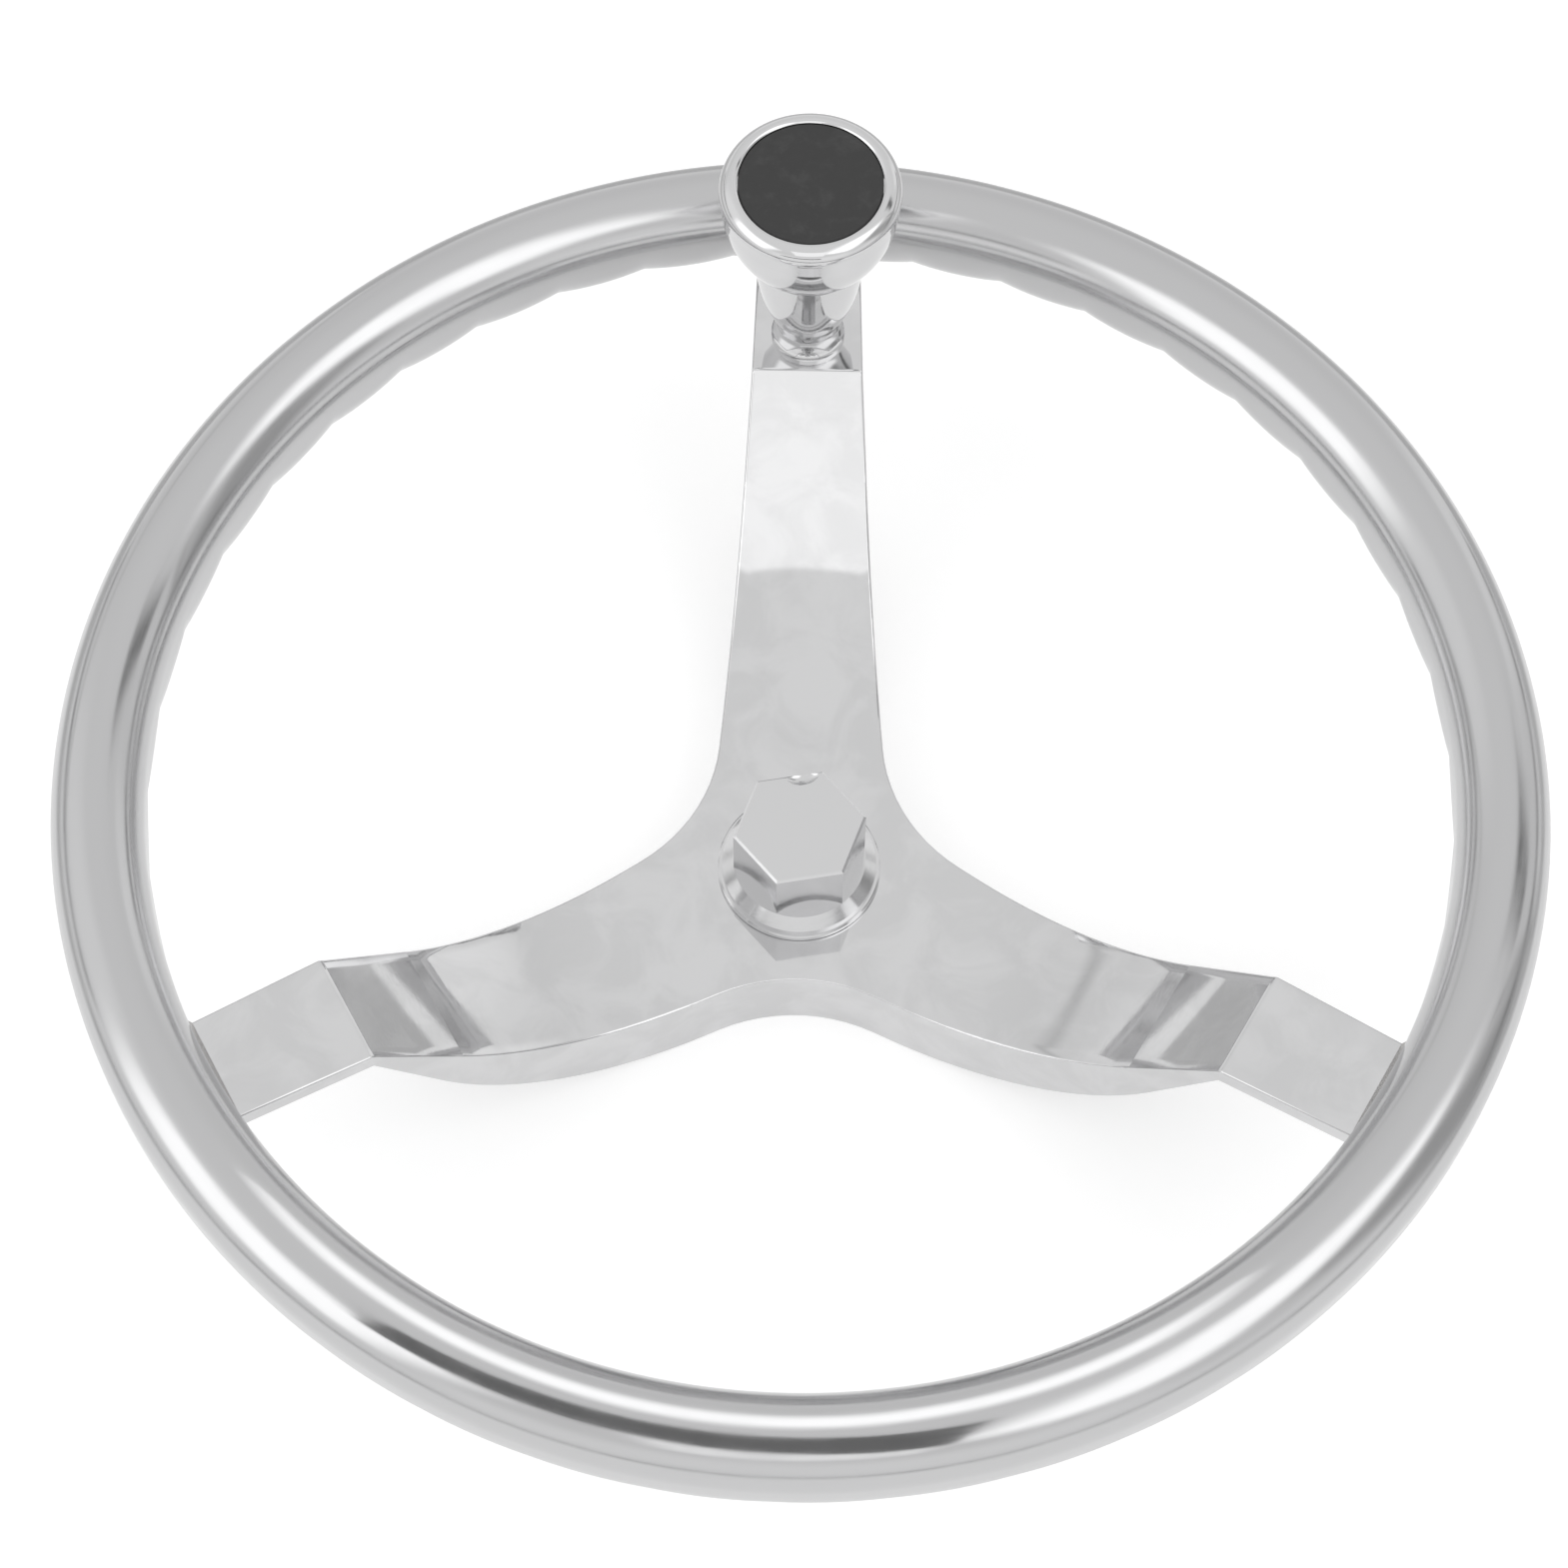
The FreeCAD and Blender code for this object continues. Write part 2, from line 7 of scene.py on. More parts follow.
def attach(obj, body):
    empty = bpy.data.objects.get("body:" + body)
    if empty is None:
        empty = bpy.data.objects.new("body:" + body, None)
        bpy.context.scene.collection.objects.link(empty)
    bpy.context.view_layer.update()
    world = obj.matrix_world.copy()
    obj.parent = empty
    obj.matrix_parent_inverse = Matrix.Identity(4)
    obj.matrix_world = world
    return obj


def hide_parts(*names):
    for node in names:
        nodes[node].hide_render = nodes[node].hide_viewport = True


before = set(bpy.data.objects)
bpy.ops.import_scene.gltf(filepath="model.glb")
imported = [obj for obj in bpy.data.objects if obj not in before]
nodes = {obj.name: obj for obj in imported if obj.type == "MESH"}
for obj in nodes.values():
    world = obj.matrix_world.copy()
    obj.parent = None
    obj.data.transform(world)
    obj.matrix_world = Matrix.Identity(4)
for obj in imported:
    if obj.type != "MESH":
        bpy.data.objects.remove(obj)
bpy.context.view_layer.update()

# Where the photograph was taken from, about the rim's middle.
RIM_LEVEL = 0.084
CAMERA_ELEVATION = math.radians(61.83)
CAMERA_TURN = math.radians(0.47)
CAMERA_ROLL = math.radians(0.55)
CAMERA_DISTANCE = 0.9003
CAMERA_SIDE = -0.00445
CAMERA_AHEAD = -0.00588
LENS = 78.45
SENSOR = 36.0

# The studio, as the steel mirrors it. Brightness 1 is white paper. Each span gives the
# upright part of a ray's direction at its start and end, or, for the floor's far end, the
# part along +Y.
LOW_WALL = 1.00         # walls near the floor
SKY = 0.86              # walls higher up
ZENITH = 0.92           # straight above
WALL_TO_SKY = (0.02, 0.35)
SKY_TO_ZENITH = (0.5, 1.0)
FLOOR_TO_WALL = (-0.006, 0.0)
FAR_FLOOR = 0.60        # the floor's far end, behind the wheel
SIDE_FLOOR = 0.92       # and to its sides and front
SIDE_TO_FAR = (0.35, 0.75)
FLOOR_COLOUR = 0.60
FLOOR_ROUGHNESS = 0.9
FLOOR_SHEEN = 0.1
FLOOR_RADIUS = 1.2
FLOOR_DROP = 0.0002     # gap that keeps the floor clear of the hub's back face
FLOOR_SIDES = 64
FLOOR_GLOW = 0.42       # extra light that the steel finds in the floor close to the wheel
GLOW_AHEAD = 0.20       # its middle, in front of the wheel's axis
GLOW_FAR = 0.62         # where it starts, from that middle
GLOW_NEAR = 0.46
FLOOR_WHITENING = 0.50  # lifts the floor to white in the picture
# Each panel: azimuth from +Y towards +X, elevation, tilt, half width, half height
# in degrees, brightness, and how soft its edge is. A later one covers an earlier one.
PANELS = (
    (180.0, 14.0, 0.0, 40.0, 15.0, 1.04, 0.20),     # pale wall behind the camera
    (-74.0, 36.0, 0.0, 18.0, 22.0, 1.02, 0.20),     # pale wall at the left
    (44.0, 18.0, 0.0, 8.0, 14.0, 1.02, 0.08),       # pale wall at the right, far behind
    (-112.0, 33.0, 0.0, 20.0, 20.0, 1.80, 0.14),    # softbox at the left
    (120.0, 54.0, 28.0, 24.0, 15.0, 1.80, 0.14),    # softbox at the right
    (95.0, 16.0, 25.0, 13.0, 24.0, 0.50, 0.14),     # shade under it
    (68.0, 8.0, 0.0, 24.0, 3.2, 0.34, 0.05),        # low dark band at the right
    (-66.0, 9.0, 0.0, 20.0, 3.0, 0.38, 0.05),       # and at the left
    (78.0, 8.0, 4.0, 1.2, 26.0, 0.50, 0.03),        # upright pole at the right
    (60.0, 42.0, 52.0, 14.0, 3.0, 0.22, 0.05),      # sloping dark bar at the right
    (-60.0, 18.0, -27.0, 27.0, 1.2, 0.62, 0.04),    # sloping pole at the left
    (-20.0, 3.0, 62.0, 28.0, 1.2, 0.66, 0.03),      # steep pole behind the wheel
    (180.0, 51.0, 0.0, 13.0, 14.0, 1.30, 0.02),     # lamp under the camera
)
NEARLY_ASIDE = 0.01     # least share of a ray that counts as heading for a panel
# A dark card between the front of the rim and the camera, seen only in the steel.
CARD_LEVEL = 0.25
CARD_CORNERS = ((-0.147, -0.165), (-0.238, -0.244), (0.094, -0.339), (0.075, -0.205))
CARD_SHADE = 0.20
# A pale strip light over the front of the rim, seen only in the steel.
STRIP_LEVEL = 0.14
STRIP_INSIDE = 0.120
STRIP_OUTSIDE = 0.176
STRIP_TURNS = (215.0, 315.0)
STRIP_STEPS = 40
STRIP_DIM = 0.88
STRIP_BRIGHT = 1.80
STRIP_FULL_FROM = 0.150     # distances from the axis between which it is brightest
STRIP_FULL_TO = 0.160
STRIP_LEFT_FADE = (-0.150, -0.105)
STRIP_RIGHT_FADE = (0.125, 0.080)

# Arms, as the frame has them, for the slight hollow that stamping leaves across them
ARM_TURNS = ((90.0, 0.0), (210.0, 0.0035), (330.0, -0.0035))  # and where the hollow is lowest
CREASE_RADIUS = 0.1347
HALF_WIDTH_AT_CREASE = 0.0159
ARM_FLARE = math.tan(math.radians(4.46))    # how each edge runs out towards the hub
HOLLOW = 1.5            # height over the square of the distance from the hollow's line
HOLLOW_RUN_IN = (0.070, 0.095)  # where along the arm the hollow and the rolled edges begin
EDGE_BAND = 0.0036      # width of the rolled band along each edge
EDGE_ROLL = 20.0        # fall over the square of the distance into that band
BEND_START = 0.097      # the ramp's bend runs out more slowly than an arc does
BEND_MIDDLE = 0.1111
BEND_END = 0.123
BEND_EASE = 0.095       # greatest change of slope that this makes
FOLD_ROUND = 0.0009     # half width of the rounded fold
FOLD_SLOPE = 0.35

# Rim, as the frame has it
RIM_OUTSIDE = 0.197
TUBE_RADIUS = 0.0122
GRIP_COUNT = 42
GRIP_DEPTH = 0.003
GRIP_CREST_DROP = 0.005
OUTER_SIDE_DROP = 0.005
GRIP_FIRST_DIP = 2.96   # degrees from +X
STEPS_PER_GRIP = 16
STEPS_ON_TOP = 30
STEPS_BELOW = 16

# The steel's surface: scales are noise features per metre, depths are in metres
PATCH_SCALE = 38.0          # where the polish wanders
STREAK_SCALE = 420.0
STREAK_SQUEEZE = (1, 1, 6)
STREAK_SHARE = 0.35
WAVE_SCALE = 42.0           # slow waves in the metal
WAVE_DEPTH = 0.00006
GRAIN_SCALE = 900.0
GRAIN_DEPTH = 0.0000012
CLOUD_SCALE = 55.0          # faint clouds on the stamped plate
CLOUD_SPAN = (0.38, 0.64)
CLOUD_SHADES = (0.955, 1.03)

# The rim's surface, buffed along the tube
RIM_STREAK_SCALE = 900.0
RIM_STREAK_STRETCH = 0.012  # metres of noise to a radian, so that streaks run long
RIM_STREAK_DEPTH = 0.000007
RIM_PATCH_SCALE = 45.0
RIM_ROUGHNESS = (0.12, 0.19)
RIM_WAVE_SCALE = 30.0
RIM_WAVE_DEPTH = 0.00012

# Plastic
SCUFF_SCALE = 160.0
SCUFF_SPAN = (0.45, 0.75)
SCUFF_GAIN = 1.35
SCUFF_LIFT = 0.01
ROUGHNESS_SPREAD = (-0.06, 0.08)
PLASTIC_GRAIN_SCALE = 1400.0
PLASTIC_GRAIN_DEPTH = 0.00002
PLASTIC_GRAIN_STRENGTH = 0.6


def add_camera():
    back = Vector((0, -math.cos(CAMERA_ELEVATION), math.sin(CAMERA_ELEVATION)))
    place = back * CAMERA_DISTANCE + Vector((CAMERA_SIDE, CAMERA_AHEAD, 0))
    right = Vector((1, 0, 0))
    above = back.cross(right)
    axes = Matrix((right, above, back)).transposed().to_4x4()
    roll = Matrix.Rotation(CAMERA_ROLL, 4, "Z")
    turn = Matrix.Rotation(CAMERA_TURN, 4, "Z")
    data = bpy.data.cameras.new("camera")
    data.lens = LENS
    data.sensor_width = SENSOR
    camera = bpy.data.objects.new("camera", data)
    bpy.context.scene.collection.objects.link(camera)
    lift = Matrix.Translation((0, 0, RIM_LEVEL))
    camera.matrix_world = lift @ turn @ Matrix.Translation(place) @ axes @ roll
    bpy.context.scene.camera = camera


class Tree:
    """Short ways to add nodes to a node tree and join them."""

    def __init__(self, tree):
        self.tree = tree
        tree.nodes.clear()

    def node(self, kind, **values):
        made = self.tree.nodes.new(kind)
        for name, value in values.items():
            setattr(made, name, value)
        return made

    def join(self, source, socket):
        if isinstance(source, (int, float, tuple, list, Vector)):
            socket.default_value = source
        else:
            self.tree.links.new(source, socket)

    def math(self, operation, first, second=0.0):
        made = self.node("ShaderNodeMath", operation=operation)
        self.join(first, made.inputs[0])
        self.join(second, made.inputs[1])
        return made.outputs[0]

    def square(self, value, rate):
        """The square of a value, times a rate."""
        return self.math("MULTIPLY", self.math("MULTIPLY", value, value), rate)

    def dot(self, vector, axis):
        made = self.node("ShaderNodeVectorMath", operation="DOT_PRODUCT")
        self.join(vector, made.inputs[0])
        self.join(tuple(axis), made.inputs[1])
        return made.outputs["Value"]

    def ramp(self, value, low, high, start=0.0, end=1.0):
        made = self.node("ShaderNodeMapRange", interpolation_type="SMOOTHSTEP")
        self.join(value, made.inputs["Value"])
        self.join(low, made.inputs["From Min"])
        self.join(high, made.inputs["From Max"])
        self.join(start, made.inputs["To Min"])
        self.join(end, made.inputs["To Max"])
        return made.outputs["Result"]

    def mix(self, share, first, second):
        made = self.node("ShaderNodeMix", data_type="FLOAT")
        self.join(share, made.inputs[0])
        self.join(first, made.inputs[2])
        self.join(second, made.inputs[3])
        return made.outputs[0]

    def mix_colours(self, share, first, second):
        made = self.node("ShaderNodeMix", data_type="RGBA")
        self.join(share, made.inputs[0])
        made.inputs[6].default_value = tuple(first) + (1,)
        made.inputs[7].default_value = tuple(second) + (1,)
        return made.outputs[2]

    def place(self):
        return self.node("ShaderNodeTexCoord").outputs["Object"]

    def split(self, vector):
        made = self.node("ShaderNodeSeparateXYZ")
        self.join(vector, made.inputs[0])
        return made.outputs

    def from_axis(self, vector):
        """Distance of a place from the Z axis."""
        flat = self.node("ShaderNodeVectorMath", operation="MULTIPLY")
        self.join(vector, flat.inputs[0])
        self.join((1, 1, 0), flat.inputs[1])
        length = self.node("ShaderNodeVectorMath", operation="LENGTH")
        self.join(flat.outputs[0], length.inputs[0])
        return length.outputs["Value"]

    def noise(self, vector, scale, detail=3.0, roughness=0.5, distortion=0.0):
        made = self.node("ShaderNodeTexNoise")
        self.join(vector, made.inputs["Vector"])
        self.join(scale, made.inputs["Scale"])
        self.join(detail, made.inputs["Detail"])
        self.join(roughness, made.inputs["Roughness"])
        self.join(distortion, made.inputs["Distortion"])
        return made.outputs["Fac"]

    def stretch(self, vector, scale):
        made = self.node("ShaderNodeMapping")
        self.join(vector, made.inputs["Vector"])
        self.join(tuple(scale), made.inputs["Scale"])
        return made.outputs[0]

    def bump(self, height, strength, distance, below=None):
        made = self.node("ShaderNodeBump")
        self.join(strength, made.inputs["Strength"])
        self.join(distance, made.inputs["Distance"])
        self.join(height, made.inputs["Height"])
        if below is not None:
            self.join(below, made.inputs["Normal"])
        return made.outputs["Normal"]


def add_world():
    world = bpy.data.worlds.new("studio")
    bpy.context.scene.world = world
    world.use_nodes = True
    tree = Tree(world.node_tree)
    ray = tree.node("ShaderNodeTexCoord").outputs["Generated"]
    parts = tree.split(ray)
    level = tree.ramp(parts["Z"], *SKY_TO_ZENITH, SKY, ZENITH)
    level = tree.mix(tree.ramp(parts["Z"], *WALL_TO_SKY), LOW_WALL, level)
    floor = tree.ramp(parts["Y"], *SIDE_TO_FAR, SIDE_FLOOR, FAR_FLOOR)
    level = tree.mix(tree.ramp(parts["Z"], *FLOOR_TO_WALL), floor, level)
    for azimuth, elevation, tilt, half_wide, half_high, bright, soft in PANELS:
        turn, lift = math.radians(azimuth), math.radians(elevation)
        ahead = Vector((math.sin(turn) * math.cos(lift),
                        math.cos(turn) * math.cos(lift), math.sin(lift)))
        level_side = Vector((math.cos(turn), -math.sin(turn), 0))
        spin = Matrix.Rotation(math.radians(tilt), 3, ahead)
        side = spin @ level_side
        over = spin @ level_side.cross(ahead)
        depth = tree.math("MAXIMUM", tree.dot(ray, ahead), NEARLY_ASIDE)
        mask = None
        for axis, half in ((side, half_wide), (over, half_high)):
            off = tree.math("DIVIDE", tree.dot(ray, axis), depth)
            off = tree.math("ABSOLUTE", off)
            edge = math.tan(math.radians(half))
            part = tree.ramp(off, edge + soft, edge - soft)
            mask = part if mask is None else tree.math("MULTIPLY", mask, part)
        level = tree.mix(mask, level, bright)
    light = tree.node("ShaderNodeBackground")
    tree.join(level, light.inputs["Strength"])
    backdrop = tree.node("ShaderNodeBackground")
    seen = tree.node("ShaderNodeLightPath").outputs["Is Camera Ray"]
    choice = tree.node("ShaderNodeMixShader")
    tree.join(seen, choice.inputs[0])
    tree.join(light.outputs[0], choice.inputs[1])
    tree.join(backdrop.outputs[0], choice.inputs[2])
    light.inputs["Color"].default_value = (1, 1, 1, 1)
    backdrop.inputs["Color"].default_value = (1, 1, 1, 1)
    out = tree.node("ShaderNodeOutputWorld")
    tree.join(choice.outputs[0], out.inputs["Surface"])


def new_material(name):
    material = bpy.data.materials.new(name)
    material.use_nodes = True
    tree = Tree(material.node_tree)
    shader = tree.node("ShaderNodeBsdfPrincipled")
    out = tree.node("ShaderNodeOutputMaterial")
    tree.join(shader.outputs[0], out.inputs["Surface"])
    return material, tree, shader


def add_floor():
    """A pale floor that looks white to the camera and keeps the wheel's shadow."""
    mesh = bpy.data.meshes.new("floor")
    step = 2 * math.pi / FLOOR_SIDES
    ring = [(FLOOR_RADIUS * math.cos(step * i), FLOOR_RADIUS * math.sin(step * i), 0)
            for i in range(FLOOR_SIDES)]
    mesh.from_pydata(ring, [], [tuple(range(FLOOR_SIDES))])
    floor = bpy.data.objects.new("floor", mesh)
    bpy.context.scene.collection.objects.link(floor)
    floor.location.z = -FLOOR_DROP
    material, tree, shader = new_material("paper")
    shader.inputs["Base Color"].default_value = (FLOOR_COLOUR,) * 3 + (1,)
    shader.inputs["Roughness"].default_value = FLOOR_ROUGHNESS
    shader.inputs["Specular IOR Level"].default_value = FLOOR_SHEEN
    shader.inputs["Emission Color"].default_value = (1, 1, 1, 1)
    path = tree.node("ShaderNodeLightPath")
    away = tree.node("ShaderNodeVectorMath", operation="DISTANCE")
    tree.join(tree.place(), away.inputs[0])
    tree.join((0, -GLOW_AHEAD, 0), away.inputs[1])
    near = tree.ramp(away.outputs["Value"], GLOW_FAR, GLOW_NEAR, 0.0, FLOOR_GLOW)
    seen = tree.math("MULTIPLY", path.outputs["Is Camera Ray"], FLOOR_WHITENING)
    mirrored = tree.math("MULTIPLY", path.outputs["Is Glossy Ray"], near)
    tree.join(tree.math("ADD", seen, mirrored), shader.inputs["Emission Strength"])
    mesh.materials.append(material)


def add_card(name, points, faces):
    """A flat card of the studio that only the steel shows. Returns its material's nodes."""
    mesh = bpy.data.meshes.new(name)
    mesh.from_pydata(points, [], faces)
    card = bpy.data.objects.new(name, mesh)
    bpy.context.scene.collection.objects.link(card)
    card.visible_camera = False
    card.visible_diffuse = False
    card.visible_shadow = False
    card.visible_transmission = False
    material, tree, shader = new_material(name + "_cloth")
    shader.inputs["Base Color"].default_value = (0, 0, 0, 1)
    shader.inputs["Specular IOR Level"].default_value = 0.0
    shader.inputs["Emission Color"].default_value = (1, 1, 1, 1)
    mesh.materials.append(material)
    return tree, shader


def add_dark_card():
    points = [(x, y, CARD_LEVEL) for x, y in CARD_CORNERS]
    shader = add_card("card", points, [(0, 1, 2, 3)])[1]
    shader.inputs["Emission Strength"].default_value = CARD_SHADE


def add_strip_light():
    first, last = STRIP_TURNS
    points, faces = [], []
    for k in range(STRIP_STEPS + 1):
        turn = math.radians(first + (last - first) * k / STRIP_STEPS)
        for reach in (STRIP_INSIDE, STRIP_OUTSIDE):
            points.append((reach * math.cos(turn), reach * math.sin(turn), STRIP_LEVEL))
    for k in range(STRIP_STEPS):
        faces.append((2 * k, 2 * k + 1, 2 * k + 3, 2 * k + 2))
    tree, shader = add_card("strip_light", points, faces)
    place = tree.place()
    away = tree.from_axis(place)
    across = tree.split(place)["X"]
    share = tree.ramp(away, STRIP_INSIDE, STRIP_FULL_FROM)
    for fade in (tree.ramp(away, STRIP_OUTSIDE, STRIP_FULL_TO),
                 tree.ramp(across, *STRIP_LEFT_FADE),
                 tree.ramp(across, *STRIP_RIGHT_FADE)):
        share = tree.math("MULTIPLY", share, fade)
    tree.join(tree.mix(share, STRIP_DIM, STRIP_BRIGHT), shader.inputs["Emission Strength"])


def mesh_object(name, points, faces, body):
    mesh = bpy.data.meshes.new(name)
    mesh.from_pydata(points, [], faces)
    mesh.shade_smooth()
    piece = bpy.data.objects.new(name, mesh)
    bpy.context.scene.collection.objects.link(piece)
    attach(piece, body)
    return piece


def rim_section(drop):
    """Points (across, height) around the rim's section: round top, straight sides, oval below."""
    depth = (drop + OUTER_SIDE_DROP) / 2 + TUBE_RADIUS
    ring = []
    for k in range(STEPS_ON_TOP + 1):
        turn = math.pi * k / STEPS_ON_TOP
        ring.append((-TUBE_RADIUS * math.cos(turn), TUBE_RADIUS * math.sin(turn)))
    for side, low in ((1, OUTER_SIDE_DROP), (-1, drop)):
        for k in range(STEPS_BELOW + 1):
            turn = math.pi / 2 * k / STEPS_BELOW
            if side < 0:
                turn = math.pi / 2 - turn
            point = (side * TUBE_RADIUS * math.cos(turn), -low - (depth - low) * math.sin(turn))
            if side > 0 or k > 0:
                ring.append(point)
    return ring


def add_rim(material):
    """The rim's skin, finer than the frame's, so that reflections run smoothly along it."""
    radius = RIM_OUTSIDE - TUBE_RADIUS
    half_pitch = radius * math.pi / GRIP_COUNT
    bump_radius = (half_pitch ** 2 + GRIP_DEPTH ** 2) / (2 * GRIP_DEPTH)
    total = GRIP_COUNT * STEPS_PER_GRIP
    points = []
    for k in range(total):
        along = ((k % STEPS_PER_GRIP) / STEPS_PER_GRIP * 2 - 1) * half_pitch
        drop = GRIP_CREST_DROP - bump_radius + math.sqrt(bump_radius ** 2 - along ** 2)
        angle = math.radians(GRIP_FIRST_DIP) + 2 * math.pi * k / total
        for across, height in rim_section(drop):
            reach = radius + across
            points.append((reach * math.cos(angle), reach * math.sin(angle), RIM_LEVEL + height))
    count = len(points) // total
    faces = []
    for k in range(total):
        this, following = k * count, (k + 1) % total * count
        for j in range(count):
            up = (j + 1) % count
            faces.append((this + j, this + up, following + up, following + j))
    rim = mesh_object("rim_skin", points, faces, "wheel")
    rim.data.materials.append(material)
    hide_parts("rim_tube")


def arm_hollow(tree, place):
    """Height, in metres, of each arm's hollow, rolled edges, soft bend and rounded fold."""
    rise_rate = BEND_EASE / (BEND_MIDDLE - BEND_START) / 2
    fall_rate = BEND_EASE / (BEND_END - BEND_MIDDLE) / 2
    bends = ((BEND_START, rise_rate), (BEND_MIDDLE, -rise_rate - fall_rate),
             (BEND_END, fall_rate))
    total = None
    for turn, lowest in ARM_TURNS:
        angle = math.radians(turn)
        along = tree.dot(place, (math.cos(angle), math.sin(angle), 0))
        side = tree.dot(place, (-math.sin(angle), math.cos(angle), 0))
        across = tree.math("ABSOLUTE", side)
        aside = tree.math("SUBTRACT", side, lowest)
        spread = tree.math("MULTIPLY", tree.math("SUBTRACT", CREASE_RADIUS, along), ARM_FLARE)
        half = tree.math("ADD", tree.math("MAXIMUM", spread, 0.0), HALF_WIDTH_AT_CREASE)
        into = tree.math("ADD", tree.math("SUBTRACT", across, half), EDGE_BAND)
        into = tree.math("MAXIMUM", into, 0.0)
        height = tree.math("SUBTRACT", tree.square(aside, HOLLOW), tree.square(into, EDGE_ROLL))
        height = tree.math("MULTIPLY", height, tree.ramp(along, *HOLLOW_RUN_IN))
        for start, rate in bends:
            past = tree.math("MAXIMUM", tree.math("SUBTRACT", along, start), 0.0)
            height = tree.math("SUBTRACT", height, tree.square(past, rate))
        from_fold = tree.math("ABSOLUTE", tree.math("SUBTRACT", along, CREASE_RADIUS))
        fold = tree.math("MAXIMUM", tree.math("SUBTRACT", FOLD_ROUND, from_fold), 0.0)
        fold = tree.square(fold, FOLD_SLOPE / (2 * FOLD_ROUND))
        height = tree.math("SUBTRACT", height, fold)
        total = height if total is None else tree.math("ADD", total, height)
    return total


def steel(name, colour, low, high, wave=1.0, grain=1.0, stamped=False):
    """Stainless steel: roughness wanders from low to high, over slow waves in the metal."""
    material, tree, shader = new_material(name)
    shader.inputs["Metallic"].default_value = 1.0
    shader.inputs["Base Color"].default_value = tuple(colour) + (1,)
    place = tree.place()
    patches = tree.noise(place, PATCH_SCALE, 4.0, 0.6)
    streaks = tree.noise(tree.stretch(place, STREAK_SQUEEZE), STREAK_SCALE, 2.0, 0.5)
    blend = tree.mix(STREAK_SHARE, patches, streaks)
    tree.join(tree.ramp(blend, 0.35, 0.70, low, high), shader.inputs["Roughness"])
    slow = tree.noise(place, WAVE_SCALE, 1.0, 0.4)
    normal = tree.bump(slow, 1.0, WAVE_DEPTH * wave)
    if stamped:
        normal = tree.bump(arm_hollow(tree, place), 1.0, 1.0, normal)
        clouds = tree.noise(place, CLOUD_SCALE, 4.0, 0.55, 0.6)
        dark, light = ([c * shade for c in colour] for shade in CLOUD_SHADES)
        tinted = tree.mix_colours(tree.ramp(clouds, *CLOUD_SPAN), dark, light)
        tree.join(tinted, shader.inputs["Base Color"])
    fine = tree.noise(place, GRAIN_SCALE, 2.0, 0.6)
    normal = tree.bump(fine, 1.0, GRAIN_DEPTH * grain, normal)
    tree.join(normal, shader.inputs["Normal"])
    return material


def plastic(name, colour, rough):
    """Moulded plastic with a fine grain, a little paler where it is scuffed."""
    material, tree, shader = new_material(name)
    place = tree.place()
    scuffs = tree.noise(place, SCUFF_SCALE, 5.0, 0.65)
    scuffed = [c * SCUFF_GAIN + SCUFF_LIFT for c in colour]
    shade = tree.mix_colours(tree.ramp(scuffs, *SCUFF_SPAN), colour, scuffed)
    tree.join(shade, shader.inputs["Base Color"])
    least, most = (rough + spread for spread in ROUGHNESS_SPREAD)
    tree.join(tree.ramp(scuffs, 0.3, 0.7, least, most), shader.inputs["Roughness"])
    grain = tree.noise(place, PLASTIC_GRAIN_SCALE, 2.0, 0.5)
    normal = tree.bump(grain, PLASTIC_GRAIN_STRENGTH, PLASTIC_GRAIN_DEPTH)
    tree.join(normal, shader.inputs["Normal"])
    return material


def dress(material, names):
    for name in names:
        thing = nodes[name]
        if thing.material_slots:
            for slot in thing.material_slots:
                slot.material = material
        else:
            thing.data.materials.append(material)


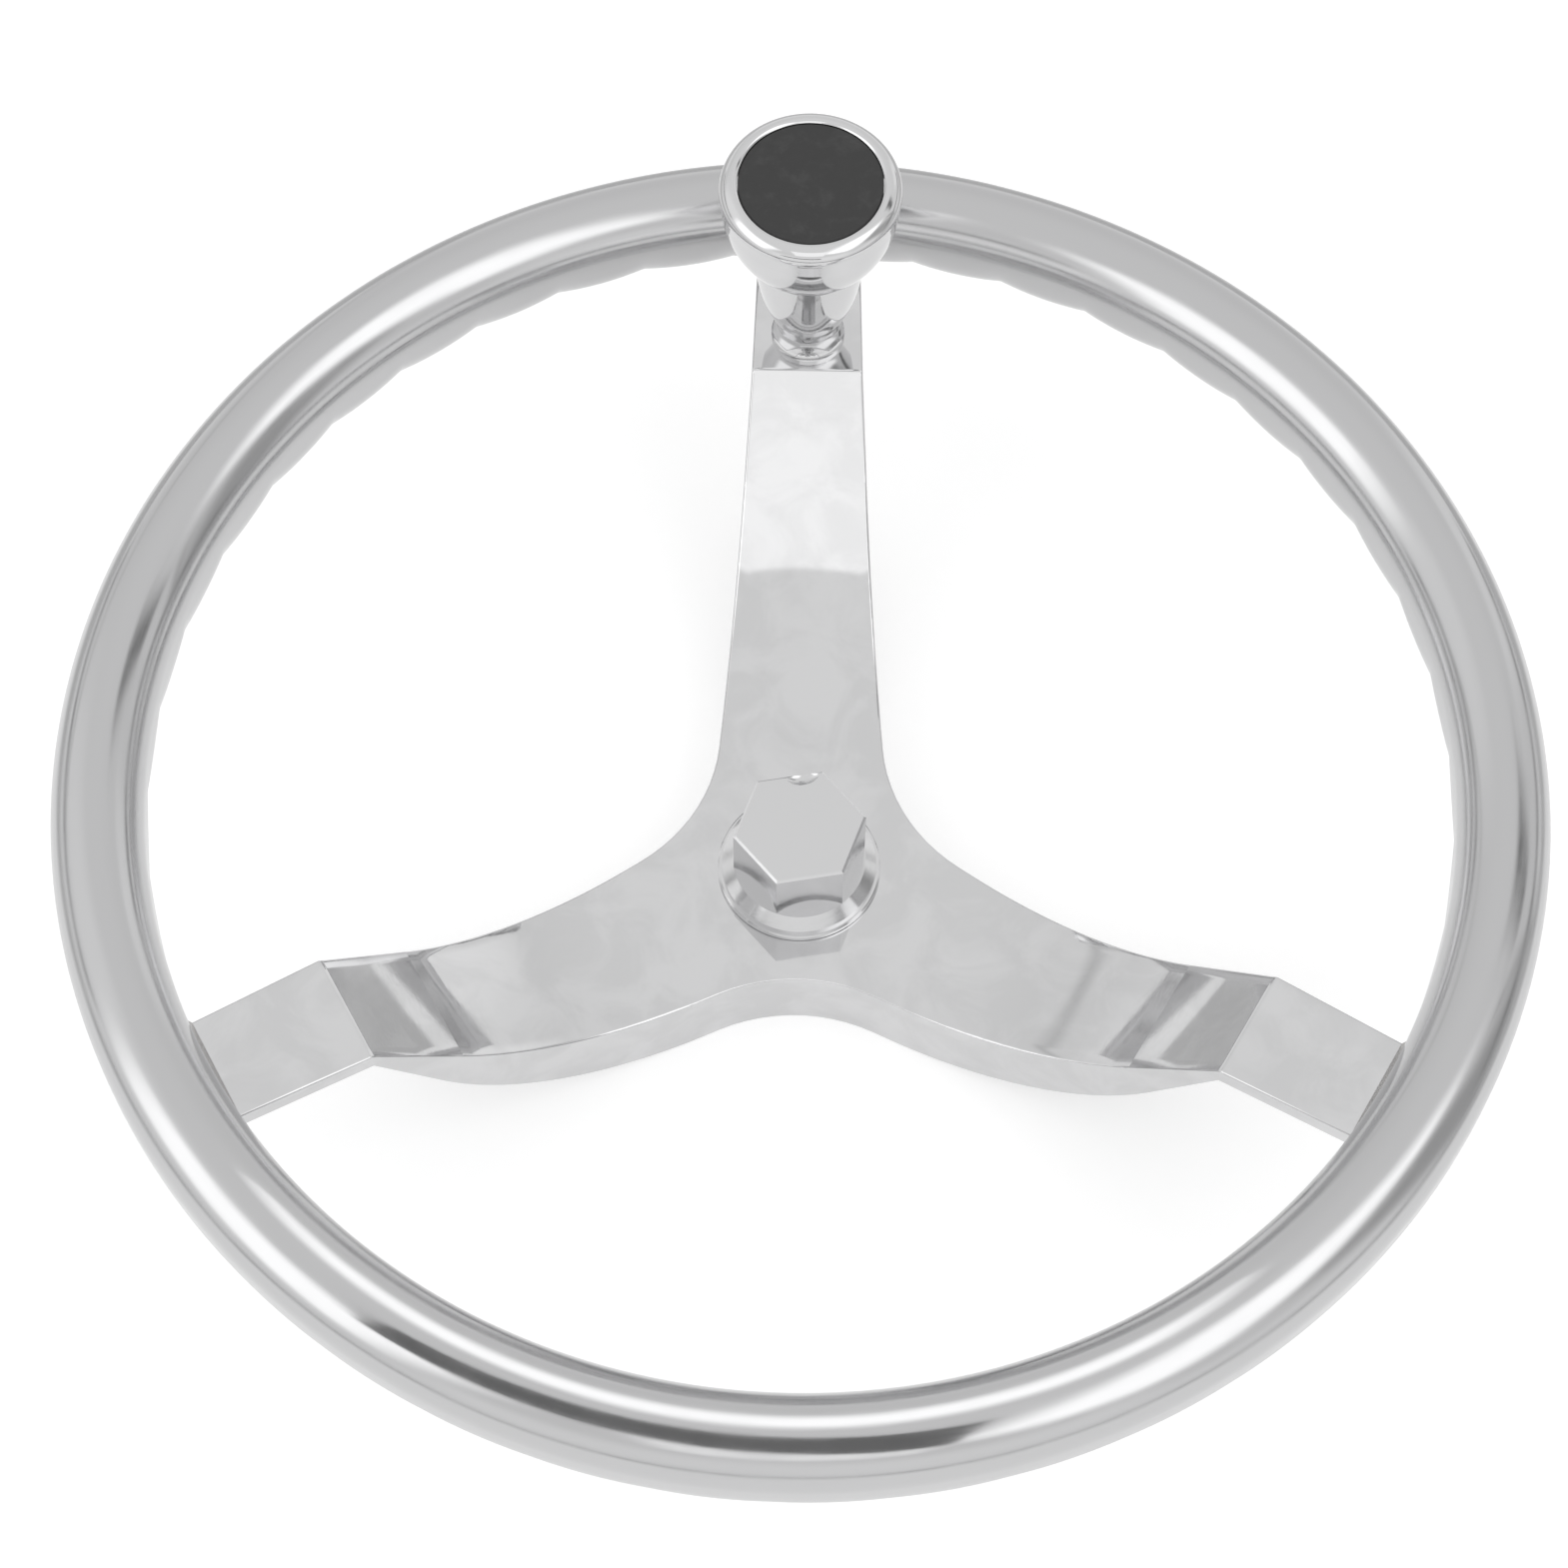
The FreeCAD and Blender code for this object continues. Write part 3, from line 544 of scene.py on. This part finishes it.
def buffed_tube(name, colour):
    """Steel buffed along the tube, so that light spreads across it, in faint long streaks."""
    material, tree, shader = new_material(name)
    shader.inputs["Metallic"].default_value = 1.0
    shader.inputs["Base Color"].default_value = tuple(colour) + (1,)
    shader.inputs["Anisotropic"].default_value = 0.5
    shader.inputs["Anisotropic Rotation"].default_value = 0.25
    tangent = tree.node("ShaderNodeTangent", direction_type="RADIAL", axis="Z")
    tree.join(tangent.outputs[0], shader.inputs["Tangent"])
    place = tree.place()
    parts = tree.split(place)
    angle = tree.math("ARCTAN2", parts["Y"], parts["X"])
    around = tree.node("ShaderNodeCombineXYZ")
    tree.join(tree.from_axis(place), around.inputs[0])
    tree.join(tree.math("MULTIPLY", angle, RIM_STREAK_STRETCH), around.inputs[1])
    tree.join(parts["Z"], around.inputs[2])
    streaks = tree.noise(around.outputs[0], RIM_STREAK_SCALE, 3.0, 0.6)
    patches = tree.noise(place, RIM_PATCH_SCALE, 4.0, 0.6)
    blend = tree.mix(0.5, patches, streaks)
    tree.join(tree.ramp(blend, 0.35, 0.65, *RIM_ROUGHNESS), shader.inputs["Roughness"])
    slow = tree.noise(place, RIM_WAVE_SCALE, 1.0, 0.4)
    normal = tree.bump(slow, 1.0, RIM_WAVE_DEPTH)
    normal = tree.bump(streaks, 1.0, RIM_STREAK_DEPTH, normal)
    tree.join(normal, shader.inputs["Normal"])
    return material


add_camera()
add_world()
add_floor()
add_dark_card()
add_strip_light()

bright_steel = (0.66, 0.66, 0.665)
polished = steel("polished_steel", bright_steel, 0.03, 0.10)
pressed = steel("pressed_steel", bright_steel, 0.09, 0.18, wave=2.0)
turned = steel("plain_steel", (0.62, 0.62, 0.62), 0.12, 0.24, wave=0.3, grain=2.0)
welded = steel("weld_steel", (0.58, 0.57, 0.56), 0.16, 0.34, wave=1.5, grain=6.0)
black = plastic("black_plastic", (0.026, 0.026, 0.026), 0.62)
bearing = plastic("bearing_plastic", (0.16, 0.16, 0.16), 0.45)

add_rim(buffed_tube("buffed_steel", (0.55, 0.55, 0.555)))
stamped = steel("stamped_steel", bright_steel, 0.03, 0.09, stamped=True)
dress(stamped, ("spoke_spider",))
dress(polished, ("rim_tube", "hub_boss", "knob_neck", "knob_bowl", "knob_top_ring"))
dress(pressed, ("cap_nut", "nut_washer"))
dress(turned, ("knob_stud", "knob_retainer_nut", "knob_retainer_washer",
               "stud_washer", "stud_spring_washer", "stud_nut"))
dress(welded, ("knob_spoke_weld", "left_spoke_weld", "right_spoke_weld", "hub_weld"))
dress(black, ("knob_cap_disc",))
dress(bearing, ("knob_thrust_washer", "knob_lower_bush", "knob_upper_bush"))

view = bpy.context.scene.view_settings
view.view_transform = "Standard"
